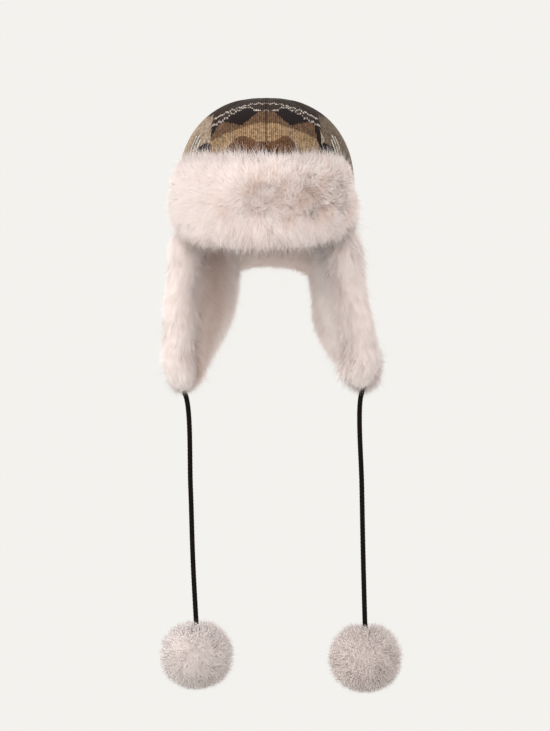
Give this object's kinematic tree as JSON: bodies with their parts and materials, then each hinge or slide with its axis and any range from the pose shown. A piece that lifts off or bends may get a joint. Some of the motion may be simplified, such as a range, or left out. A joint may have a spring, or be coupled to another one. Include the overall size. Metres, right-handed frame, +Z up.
{
  "type": "earflap hat",
  "caption": "Knitted earflap hat with a turned-up fur cuff, fur-lined ear flaps and neck flap, and a fur pompom on a twisted cord at the tip of each ear flap",
  "frame": {"origin": "the top of the hollow of the crown, where the hat sits on a head", "axes": "+Z up, the front of the hat and its cuff face -Y, +X is to the right of a viewer who faces the front"},
  "size_m": [0.2752, 0.2576, 0.6826],
  "materials": {
    "knit_camel": "matte knitted wool in camel and beige",
    "knit_brown": "matte knitted wool in brown",
    "fur": "deep soft imitation fur in pale pinkish cream",
    "pompom_fur": "dense soft imitation fur in pale pinkish cream",
    "cord": "matte twisted cord in brown black"
  },
  "bodies": {
    "root": {"crown_gore_1": "knit_camel", "crown_gore_2": "knit_brown", "crown_gore_3": "knit_camel", "crown_gore_4": "knit_brown", "crown_gore_5": "knit_camel", "crown_gore_6": "knit_brown", "crown_gore_7": "knit_camel", "crown_gore_8": "knit_brown", "ear_flap_left": "knit_brown", "ear_flap_right": "knit_brown", "neck_flap": "knit_brown", "cuff_fur": "fur", "ear_flap_fur_left": "fur", "ear_flap_fur_right": "fur", "neck_fur": "fur", "cord_left": "cord", "cord_right": "cord", "pompom_left": "pompom_fur", "pompom_right": "pompom_fur"}
  },
  "joints": []
}
